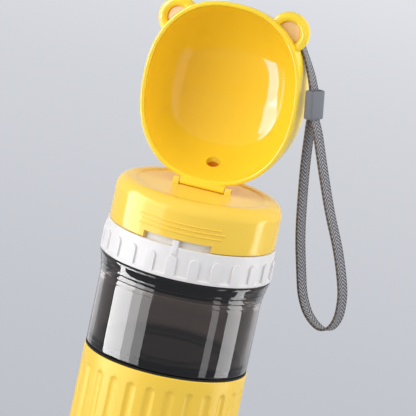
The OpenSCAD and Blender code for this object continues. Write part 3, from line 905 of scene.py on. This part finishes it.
def makeWaterTank(s):
    plugLow = low("water_tank")
    neckTop = high("water_tank")
    base = plugLow + s["plugDepth"]
    top = low("lock_ring") - gap      # of the shoulder
    flare = high("water_tank", 0)
    r = high("food_cup", 0) - gap
    plug = r - s["plugInset"]
    plugIn = plug - s["plugWall"]
    neck = s["sealSlack"] - low("tank_seal", 0)
    inner = r - s["wall"]
    floor = base + s["floor"]
    bead = s["beadWidth"] / 2
    deep = s["beadDepth"]
    side = deep * s["beadShoulder"]

    # beads round the plug and the neck: so many, each a pitch above the last
    def beadPoints(core, start, pitch, count):
        heights = [start + k * pitch for k in range(1, count + 1)]
        return [(core + out, z + up) for z in heights for out, up in (
            (0, -bead), (side, -bead * 0.5), (deep, 0), (side, bead * 0.5), (0, bead))]

    flareRows = []
    steps = s["flareRows"]
    for i in range(steps + 1):
        z = top - s["flareHeight"] + (s["flareHeight"] - s["flareTop"]) * i / steps
        ridge = sum(math.exp(-((z - k) / s["ridgeWidth"]) ** 2) for k in s["ridges"])
        out = r + (flare - r) * (1 - math.cos(math.pi / 2 * i / steps)) + ridge * s["ridgeDepth"]
        flareRows.append((out, z))
    threadPitch = (neckTop - top - s["threadLow"]) / 4
    bore = neck - s["neckWall"]
    stepFloor = floor - s["floorStep"]
    stepFrom = inner * s["stepFrom"]
    stepTo = inner * s["stepTo"]
    profile = [
        (0, base), (plugIn - fillet, base), *rounded(plugIn, base, fillet, 90, 0, 4),
        (plugIn, plugLow + chamfer), (plugIn + chamfer, plugLow),
        (plug - chamfer, plugLow), (plug, plugLow + chamfer),
        *beadPoints(plug, plugLow, s["plugDepth"] / 3, 2), (plug, base), (r - s["foot"], base),
        *rounded(r, base, s["foot"], -90, 0, 8)[1:], *((r, z) for z in s["rows"]), *flareRows,
        *rounded(flare, top, softEdge, 0, 90, 4), (neck + softEdge, top), (neck, top + softEdge),
        *beadPoints(neck, top + s["threadLow"], threadPitch, 3),
        *rounded(neck, neckTop, softEdge, 0, 90, 3), *rounded(bore, neckTop, softEdge, 90, 180, 3),
        *((bore + out, top - down) for out, down in s["boreSteps"]),
        *((inner - inward, top - down) for inward, down in s["innerSteps"]),
        *((inner, z) for z in s["innerRows"]), *rounded(inner, floor, s["innerEdge"], 0, -90, 8),
        (stepFrom + 0.1, floor), (stepFrom, stepFloor), (stepTo, stepFloor),
        (stepTo - 0.1, floor), (0, floor),
    ]
    obj = turned(profile, s["columns"])
    return finishPiece(obj, "waterTank", "smokeClear", 40)


waterTank = makeWaterTank(tankSet)
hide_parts("water_tank")
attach(waterTank, "tank")
print("water tank is made")

# lock ring, with its ribs, pointer, valve plate and collar
ringSet = {
    "columns": 192,
    "ribCount": 24,
    "ribWidth": 4.1,
    "ribDepth": 0.8,
    "ribRoot": 0.8,        # of a rib inside the wall
    "ribLift": 0.4,        # of its lower end above the ring's
    "ribSoft": 0.38,
    "ribTopGap": 3.4,
    "lip": 1.5,
    "lipEdge": 0.35,
    "wall": 1.8,
    "groove": 1.4,
    "plate": 2.4,
    "web": 2.0,
    "hubHole": 6.7,
    "portRadius": 3.0,
    "portRing": 16.0,
    "collarHeight": 5.0,
    "collarWall": 2.0,
    "pointerWidth": 2.5,
    "pointerSoft": 0.35,
    # both parts of the pointer: in from the rim, into the wall, and below where the part starts
    "pointerLow": (0.12, 1.5, -0.35),
    "pointerHigh": (0.1, 0.5, 1),
}


def makeLockRing(s):
    bottom = low("lock_ring")
    collarTop = high("lock_ring")
    top = collarTop - s["collarHeight"]
    lip = bottom + s["lip"]
    rib = high("lock_ring", 0)
    r = rib - s["ribDepth"]
    sleeve = r - s["wall"] - s["groove"]
    bore = sleeve - s["wall"]
    capRadius = high("cap_shell", 0)
    collar = capRadius - jointSet["capWall"] - gap
    collarIn = collar - s["collarWall"]
    plateLow = top - s["plate"]
    grooveTop = plateLow - s["web"]
    grooveOut = sleeve + s["groove"]
    profile = [
        (bore, bottom + chamfer), (bore, plateLow), (s["hubHole"], plateLow), (s["hubHole"], top),
        (collarIn - fillet, top), *rounded(collarIn, top, fillet, -90, 0, 3),
        *rounded(collarIn, collarTop, softEdge, 180, 90, 3),
        *rounded(collar, collarTop, softEdge, 90, 0, 3),
        (collar, top + softEdge), (collar + softEdge, top), *rounded(r, top, fillet, 90, 0, 5),
        (r, lip + fillet), *rounded(r, lip, fillet, 180, 255, 4),
        *rounded(rib, lip, s["lipEdge"], 75, 0, 4), *rounded(rib, bottom, s["lipEdge"], 0, -90, 4),
        (grooveOut, bottom), (grooveOut, grooveTop), (sleeve, grooveTop), (sleeve, bottom),
        (bore + chamfer, bottom), (bore, bottom + chamfer),
    ]
    obj = turned(profile, s["columns"])
    port = roundBar((0, s["portRing"], plateLow - 1), (0, s["portRing"], top + 1), s["portRadius"])
    combine(obj, port)
    extras = [makeRib(bottom, top, r, s)]
    for i in range(1, s["ribCount"]):
        twin = copyOf(extras[0])
        moveMesh(twin, turnAbout(360 * i / s["ribCount"], "Z"))
        extras.append(twin)
    # pointer, in a lower and a higher part
    half = s["pointerWidth"] / 2
    for sizes, rim, wall, foot, head in (
        (s["pointerLow"], rib, r, top - s["ribTopGap"], top),
        (s["pointerHigh"], capRadius, collar, top, top + jointSet["windowHeight"]),
    ):
        part = block(-half, sizes[0] - rim, foot - sizes[2], half, sizes[1] - wall, head)
        bevelEdges(part, s["pointerSoft"], 3, 35)
        extras.append(part)
    join(obj, extras)
    return finishPiece(obj, "lockRing", "ringWhite")


# one rib at the front: a disc whose lower half is drawn down, pulled out and softened
def makeRib(bottom, top, r, s):
    half = s["ribWidth"] / 2
    depth = s["ribDepth"] + s["ribRoot"]
    middle = top - s["ribTopGap"] - half
    deselect()
    place = (0, (depth - s["ribDepth"] - r) * mm, middle * mm)
    bpy.ops.mesh.primitive_circle_add(vertices=32, radius=half * mm, fill_type="NGON",
                                      location=place, rotation=(math.pi / 2, 0, 0))
    obj = placeInMesh(bpy.context.object)
    pick(obj, "corners", lambda corner, normal: corner.z < middle - 0.01)
    bpy.ops.transform.resize(value=(1, 1, 0), center_override=(0, 0, middle * mm))
    bpy.ops.transform.translate(value=(0, 0, (bottom + s["ribLift"] - middle) * mm))
    leaveEdit()
    editAll(obj)
    extrudeBy((0, -depth * mm, 0))
    leaveEdit()
    closeUp(obj, 0.002)
    bevelEdges(obj, s["ribSoft"], 4)
    return obj


lockRing = makeLockRing(ringSet)
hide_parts("lock_ring")
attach(lockRing, "ring")
print("lock ring is made")

# cap, with its window, raised lines, hub and hinge ears
capSet = {
    "columns": 192,
    "ringToDisc": 11,      # outer radius beyond the valve disc's
    # the lower edge above the disc's foot: the disc, then the seal, the plate and the gap
    "discToEdge": (2.6, 3.7),
    "shoulder": 5.4,
    "dishEdge": 3.1,
    "dishDepth": 0.6,
    # slope into the dish: out from its edge and down from the crest, then up from the dish
    "slopeTop": ((1.0, 0.02), (0.75, 0.12)),
    "slopeFoot": ((0.25, 0.12), (0, 0.02), (-0.4, 0)),
    "rows": (4, 8),
    "hub": 6.5,
    "hubLip": 1,
    "oringLift": 1.2,
    "oringMiddle": 5.85,
    "oringSize": 1.6,
    "oringSlack": 0.1,
    "screw": 1.5,
    "screwDepth": 10.4,
    "fit": 0.02,
    "windowHalf": 24.6,
    "windowReach": (1, 2, 0.5),     # of its cutter: inwards, outwards and down
    "lineHeights": (138.5, 140.4, 142.3),
    "lineTurns": (0, 2, -1.5),
    "lineHalf": 30,
    "lineWidth": 0.62,
    "lineDepth": 0.35,
    "lineRoot": 0.4,
    "lineSoft": 0.12,
    "seatNeck": 4.45,
    "pocket": 1.8,
    "lugWidth": 2.6,
    "lugRoot": 0.8,
    "lugSoft": 0.25,
}


def crestHeight():
    return high("cap_shell") - jointSet["lugRadius"] - jointSet["axisUp"]


def hingeAxisHeight():
    return (low("hinge_pin") + high("hinge_pin")) / 2


# drill for the hinge pin, through what lies between x0 and x1
def pinDrill(x0, x1):
    back, axis = jointSet["axisBack"], hingeAxisHeight()
    ends = ((x0 - 1, back, axis), (x1 + 1, back, axis))
    return roundBar(*ends, jointSet["pinBore"], jointSet["pinSides"])


def makeCap(s):
    toCap, toEdge = s["discToEdge"]
    capLow = low("valve_disc") + toCap + toEdge
    crest = crestHeight()
    r = high("valve_disc", 0) + s["ringToDisc"]
    wall = jointSet["capWall"]
    inner = r - wall
    shoulder = s["shoulder"]
    dish = r - shoulder - s["dishEdge"]
    dishTop = crest - s["dishDepth"]
    under = dishTop - wall
    hub = s["hub"]
    hubLow = high("valve_disc")
    screw = s["screw"] + s["fit"]
    grooveMiddle = hubLow + s["hubLip"] + s["oringLift"]
    grooveHalf = s["oringSize"] / 2 + s["oringSlack"]
    grooveIn = s["oringMiddle"] - s["oringSize"] / 2 - s["fit"]
    grooveLow = grooveMiddle - grooveHalf
    grooveHigh = grooveMiddle + grooveHalf
    profile = [
        (0, hubLow + s["screwDepth"]), (screw, hubLow + s["screwDepth"]), (screw, hubLow),
        (hub - chamfer, hubLow), (hub, hubLow + chamfer), (hub, grooveLow),
        (grooveIn, grooveLow), (grooveIn, grooveHigh), (hub, grooveHigh), (hub, under - fillet),
        *rounded(hub, under, fillet, 180, 90, 3), *rounded(inner, under, shoulder - wall, 90, 0, 10),
        (inner, capLow + chamfer), (inner + chamfer, capLow), *rounded(r, capLow, softEdge, -90, 0, 4),
        *((r, capLow + up) for up in s["rows"]), *rounded(r, crest, shoulder, 0, 90, 22),
        *((dish + out, crest - down) for out, down in s["slopeTop"]),
        *((dish + out, dishTop + up) for out, up in s["slopeFoot"]), (0, dishTop),
    ]
    obj = turned(profile, s["columns"])
    axis = hingeAxisHeight()
    # window in the lower edge, as wide as the pointer's travel
    inward, outward, down = s["windowReach"]
    windowTop = capLow + jointSet["windowHeight"]
    window = sweptArc([(inner - inward, 0, capLow - down), (r + outward, 0, capLow - down),
                       (r + outward, 0, windowTop), (inner - inward, 0, windowTop),
                       (inner - inward, 0, capLow - down)], 24, s["windowHalf"])
    half = jointSet["barrelLength"] / 2
    back = jointSet["axisBack"]
    outlet = jointSet["outletBack"]
    pocket = roundBar((-half - gap, back, axis), (half + gap, back, axis), s["pocket"])
    seatBore = roundBar((0, outlet, under - 3), (0, outlet, dishTop + 3), s["seatNeck"])
    for tool in (window, pocket, seatBore):
        combine(obj, tool)
    extras = [makeRaisedLine(r, z, turn, s) for z, turn in zip(s["lineHeights"], s["lineTurns"])]
    extras += [makeHingeEar(side, axis, dishTop, half, s) for side in (-1, 1)]
    join(obj, extras)
    return finishPiece(obj, "capShell", "capYellow")


# sweeps a section through half an angle on both sides of the front, turned on from there
def sweptArc(section, steps, half, turn=0):
    obj = drawWire(section)
    spinRound(obj, steps, math.radians(2 * half))
    closeEnds(obj)
    middle = sum((v.co for v in obj.data.vertices), Vector()) / len(obj.data.vertices)
    moveMesh(obj, turnAbout(turn - 90 - math.degrees(math.atan2(middle.y, middle.x)), "Z"))
    return obj


# fills the open ends of a swept shape
def closeEnds(obj, merge=0.005):
    editAll(obj)
    bpy.ops.mesh.remove_doubles(threshold=merge * mm)
    bpy.ops.mesh.select_all(action="DESELECT")
    bpy.context.tool_settings.mesh_select_mode = (False, True, False)
    bpy.ops.mesh.select_non_manifold(extend=False, use_wire=False, use_boundary=True,
                                     use_multi_face=False, use_non_contiguous=False, use_verts=False)
    bpy.ops.mesh.edge_face_add()
    leaveEdit()
    closeUp(obj, merge)


def makeRaisedLine(r, z, turn, s):
    half = s["lineWidth"] / 2
    root = r - s["lineRoot"]
    section = [(root, 0, z - half)]
    for a in range(-90, 91, 18):
        x = r + s["lineDepth"] * math.cos(math.radians(a))
        section.append((x, 0, z + half * math.sin(math.radians(a))))
    section += [(root, 0, z + half), (root, 0, z - half)]
    obj = sweptArc(section, 60, s["lineHalf"], turn)
    bevelEdges(obj, s["lineSoft"], 2, 60)
    return obj


def makeHingeEar(side, axis, dishTop, half, s):
    root = side * (half + gap)
    x0, x1 = sorted((root, root + side * s["lugWidth"]))
    back = jointSet["axisBack"]
    lug = jointSet["lugRadius"]
    obj = block(x0, back - lug, dishTop - s["lugRoot"], x1, back + lug, axis + lug)
    pick(obj, "edges", lambda middle, way: abs(way.x) > aligned and middle.z > axis)
    bevelPicked(lug - s["fit"], 10)
    closeUp(obj, 0.005)
    bevelEdges(obj, s["lugSoft"])
    combine(obj, pinDrill(x0, x1))
    return obj


capShell = makeCap(capSet)
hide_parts("cap_shell")
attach(capShell, "cap")
print("cap is made")

# drinking bowl, with its ears, boss, tongue and hinge barrel
bowlSet = {
    "sides": 144,
    "width": 65.4,
    "length": 76.6,
    "depth": 34.0,
    "wall": 1.8,
    "up": 1.6,              # of its lower edge above the cap's crest
    "lean": 1.4,
    "mouthPower": 2.3,
    "sidePower": 3.5,
    "endPower": 2.3,
    "sideSwell": 0.065,
    "endSwell": -0.02,
    "levels": (26, 89.2),        # of its depth: how many, and the angle of the deepest one
    "cutterLevels": (22, 88.5),
    "rim": 0.75,
    "rimTurn": 15,
    "drainRadius": 2.9,
    "drainReach": (4, 8),        # of the drill, below and above the outside
    "barrelRadius": 1.4,
    "barrelSoft": 0.2,
    "tongueFront": 0.85,
    "tongueBack": 1.1,
    "tongueDown": 0.8,
    "tongueRoot": 0.7,           # of it in the bowl's wall, in walls
    "tongueSoft": 0.28,
}
earSet = {
    "columns": 96,
    "side": 23.0,
    "back": 2.5,
    "sink": 1.05,
    "shift": 1.6,
    "radius": 8.7,
    "hollow": 4.9,
    "thickness": 6.0,
    "hollowDepth": 3.6,
    "edge": 1.9,
    "root": 0.6,                 # of it in the bowl's wall, in walls
    "padColumns": 64,
    "padThickness": 1.4,
    "padSlack": 0.05,
    "padRise": 0.02,             # of the pad's face in each sixth of its radius
    "padEdge": (0.6, 0.14, 0.15),
    "bossAt": (2.6, 5.0, -0.6),
    "bossRadius": 2.4,
    "bossLength": 7.5,
}
bowlLow = crestHeight() + bowlSet["up"]
bowlMiddle = bowlLow + bowlSet["length"] / 2
leanTurn = turnAbout(-bowlSet["lean"], "Y", (0, 0, hingeAxisHeight()))


# half width and half length of the bowl at the part u of its depth, a skin t inside the outside
def bowlSize(u, t, s):
    bulge = math.sin(math.pi * u)
    side = (1 - u ** s["sidePower"]) ** (1 / s["sidePower"]) * (1 + s["sideSwell"] * bulge)
    end = (1 - u ** s["endPower"]) ** (1 / s["endPower"]) * (1 + s["endSwell"] * bulge)
    return (s["width"] / 2 - t) * side, (s["length"] / 2 - t) * end


# joins rounded outlines of (half width, half length, distance back) by extruding the first one
def loftOutlines(outlines, s):
    power = 2 / s["mouthPower"]
    a, b, y = outlines[0]
    deselect()
    bpy.ops.mesh.primitive_circle_add(vertices=s["sides"], radius=mm, fill_type="NGON")
    obj = bpy.context.object
    for i, v in enumerate(obj.data.vertices):
        angle = math.tau * (i + 0.5) / s["sides"]
        c, d = (math.copysign(abs(w) ** power, w) for w in (math.cos(angle), math.sin(angle)))
        v.co = Vector((a * c, y, bowlMiddle + b * d)) * mm
    editAll(obj)
    for (a0, b0, y0), (a1, b1, y1) in zip(outlines, outlines[1:]):
        extrudeBy((0, (y1 - y0) * mm, 0))
        centre = (0, y1 * mm, bowlMiddle * mm)
        bpy.ops.transform.resize(value=(a1 / a0, 1, b1 / b0), center_override=centre)
    leaveEdit()
    closeUp(obj, 0.0005)
    return obj


def bowlLevels(count, deepest):
    return [math.sin(math.radians(deepest * k / count)) for k in range(count + 1)]


# outside from the back to the rim, round the rim, and inside to the back again
def bowlOutlines(s):
    levels = bowlLevels(*s["levels"])[1:]
    rim = s["rim"]
    turn = s["rimTurn"]

    def skinOutlines(t, order):
        depths = [(u, u * (s["depth"] - t)) for u in order]
        return [(*bowlSize(u, t, s), depth) for u, depth in depths if depth > rim]

    outlines = skinOutlines(0, reversed(levels))
    for t, way, turns in ((0, -rim, range(0, 91, turn)), (s["wall"], rim, range(90, -1, -turn))):
        a, b = bowlSize(rim / s["depth"], t, s)
        for angle in turns:
            inset = way * (1 - math.cos(math.radians(angle)))
            outlines.append((a + inset, b + inset, rim * (1 - math.sin(math.radians(angle)))))
    return outlines + skinOutlines(s["wall"], levels)


# a solid as big as the bowl less a skin t, to cut other pieces with
def bowlCutter(t, front, s):
    outlines = [(*bowlSize(0, t, s), -front)]
    for u in bowlLevels(*s["cutterLevels"])[0 if front else 1:]:
        outlines.append((*bowlSize(u, t, s), u * (s["depth"] - t)))
    return loftOutlines(outlines, s)


def earPlace(side, s, e):
    outline = (1 - (2 * e["side"] / s["width"]) ** s["mouthPower"]) ** (1 / s["mouthPower"])
    top = bowlMiddle - e["sink"] + s["length"] / 2 * outline
    return side * e["side"], e["back"], top + side * e["shift"]


def makeEar(side, s, e):
    edge = e["edge"]
    floor = e["hollowDepth"]
    hollow = e["hollow"]
    profile = [
        (0, floor), (hollow - chamfer, floor), (hollow, floor - chamfer),
        *rounded(hollow, 0, edge, 180, 270, 12), *rounded(e["radius"], 0, edge, -90, 0, 12),
        *rounded(e["radius"], e["thickness"], edge, 0, 90, 8), (0, e["thickness"]),
    ]
    obj = turned(profile, e["columns"])
    moveMesh(obj, shift(*earPlace(side, s, e)) @ turning(-90, "X"))
    combine(obj, bowlCutter(s["wall"] * e["root"], 0.0, s))
    return obj


def makeTongue(s):
    axis = hingeAxisHeight()
    half = jointSet["barrelLength"] / 2
    back = jointSet["axisBack"]
    tongue = block(-half, -s["tongueFront"], axis - s["tongueDown"],
                   half, back + s["tongueBack"], bowlLow + s["wall"] * s["tongueRoot"])
    bevelEdges(tongue, s["tongueSoft"])
    barrel = roundBar((-half, back, axis), (half, back, axis), s["barrelRadius"])
    bevelEdges(barrel, s["barrelSoft"], 2)
    combine(tongue, barrel, "UNION")
    combine(tongue, pinDrill(-half, half))
    return tongue


def makeDrinkingBowl(s, e):
    obj = loftOutlines(bowlOutlines(s), s)
    # drain hole, straight through the wall
    back = jointSet["outletBack"]
    under = bowlMiddle - bowlSize(back / s["depth"], 0, s)[1]
    below, above = s["drainReach"]
    drill = roundBar((0, back, under - below), (0, back, under + above), s["drainRadius"])
    combine(obj, drill)
    ears = [makeEar(side, s, e) for side in (-1, 1)]
    x, y, z = (p + q for p, q in zip(earPlace(1, s, e), e["bossAt"]))
    boss = roundBar((x, y, z), (x, y + e["bossLength"], z), e["bossRadius"])
    bevelEdges(boss, fillet)
    join(obj, ears + [boss])
    moveMesh(obj, leanTurn)
    join(obj, [makeTongue(s)])
    return finishPiece(obj, "drinkingBowl", "bowlYellow")


def makeEarPad(side, name, s, e):
    r = e["hollow"] - e["padSlack"]
    t = e["padThickness"]
    edge, edgeRise, cornerRise = e["padEdge"]
    profile = [(0, 0), *((r * k / 6, e["padRise"] * k) for k in (1, 2, 3, 4)), (r - edge, edgeRise),
               *rounded(r, cornerRise, softEdge, -90, 0, 5), (r, t), (0, t)]
    obj = turned(profile, e["padColumns"])
    x, y, z = earPlace(side, s, e)
    moveMesh(obj, shift(x, y + e["hollowDepth"] - t, z) @ turning(-90, "X"))
    combine(obj, bowlCutter(-e["padSlack"], 1.0, s))
    moveMesh(obj, leanTurn)
    return finishPiece(obj, name, "insetBeige")


drinkingBowl = makeDrinkingBowl(bowlSet, earSet)
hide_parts("drinking_bowl")
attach(drinkingBowl, "bowl")
for side, padName, padNode in ((-1, "earPadLeft", "ear_inset_left"),
                               (1, "earPadRight", "ear_inset_right")):
    earPad = makeEarPad(side, padName, bowlSet, earSet)
    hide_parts(padNode)
    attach(earPad, "bowl")
print("drinking bowl is made")

# finishes of the nodes that stay as they are
nodeFinish = {
    "cup_seal": "sealBlack", "tank_seal": "sealWhite", "face_seal": "sealWhite",
    "valve_disc": "valveWhite", "hub_oring": "sealBlack", "hub_screw": "brightSteel",
    "outlet_seat": "sealAmber", "hinge_pin": "brightSteel",
}
for nodeName in nodeFinish:
    slots = nodes[nodeName].data.materials
    slots.clear()
    slots.append(material[nodeFinish[nodeName]])

# what the strips of each part show on
for part in stripPieces:
    for pieceName in stripPieces[part][0]:
        stripParts[part].objects.link(bpy.data.objects[pieceName])

floorSet = {
    "radius": 6,
    "sides": 128,
    "color": (196, 198, 205),
    "roughness": 0.8,
    "near": (186, 189, 196),     # glow of the backdrop close to the object, darker: painted light falloff
    "far": (236, 238, 243),      # and farther behind it, lighter: painted light
    "nearFrom": 0.0,
    "farFrom": 1.5,
    "glow": 0.85,                # share of the floor that shows as the glowing backdrop
}


# mixes two shaders into an output: the rays of the camera, straight, mirrored or through clear
# plastic, meet a share of the second one
def showToCamera(tree, lit, seen, share, output):
    rays = tree.nodes.new("ShaderNodeLightPath").outputs
    camera = mathNode(tree, "MAXIMUM", rays["Is Camera Ray"], rays["Is Glossy Ray"])
    camera = mathNode(tree, "MAXIMUM", camera, rays["Is Transmission Ray"])
    mix = tree.nodes.new("ShaderNodeMixShader")
    tree.links.new(mathNode(tree, "MULTIPLY", camera, share), mix.inputs[0])
    tree.links.new(lit.outputs[0], mix.inputs[1])
    tree.links.new(seen.outputs[0], mix.inputs[2])
    tree.links.new(mix.outputs[0], tree.nodes[output].inputs["Surface"])


# pale floor: the rays that see it meet mostly a glowing backdrop with a painted light gradient, darker
# near the object and lighter farther back, and the rest keeps the shadow
def makeFloor(s):
    bpy.ops.mesh.primitive_circle_add(vertices=s["sides"], radius=s["radius"], fill_type="NGON",
                                      location=(0, 0, 0))
    obj = bpy.context.object
    obj.name = "studioFloor"
    m, tree, bsdf = newMaterial("floorPale", s["color"])
    setInputs(bsdf, {"Base Color": srgb(*s["color"]), "Roughness": s["roughness"]})
    # painted light: the backdrop's glow runs from darker near the object to lighter farther back
    depth = rampNode(tree, placeOutputs(tree)["Y"], s["nearFrom"], s["farFrom"])
    glow = tree.nodes.new("ShaderNodeEmission")
    backdrop = mixColors(tree, depth, srgb(*s["near"]), srgb(*s["far"]))
    tree.links.new(backdrop, glow.inputs["Color"])
    showToCamera(tree, bsdf, glow, s["glow"], "Material Output")
    obj.data.materials.append(m)
    return obj


floor = makeFloor(floorSet)

worldSet = {
    "light": (230, 230, 232),
    "strength": 0.43,
    "seen": (218, 220, 226),     # where the world itself is seen
}


# plain world light; where the world itself is seen it has the colour of the far floor
def makeWorldLight(s):
    world = bpy.data.worlds.new("studioWorld")
    bpy.context.scene.world = world
    world.use_nodes = True
    tree = world.node_tree
    light = tree.nodes["Background"]
    setInputs(light, {"Color": srgb(*s["light"]), "Strength": s["strength"]})
    seen = tree.nodes.new("ShaderNodeBackground")
    seen.inputs["Color"].default_value = srgb(*s["seen"])
    showToCamera(tree, light, seen, 1.0, "World Output")


makeWorldLight(worldSet)
print("floor and world light are in place")
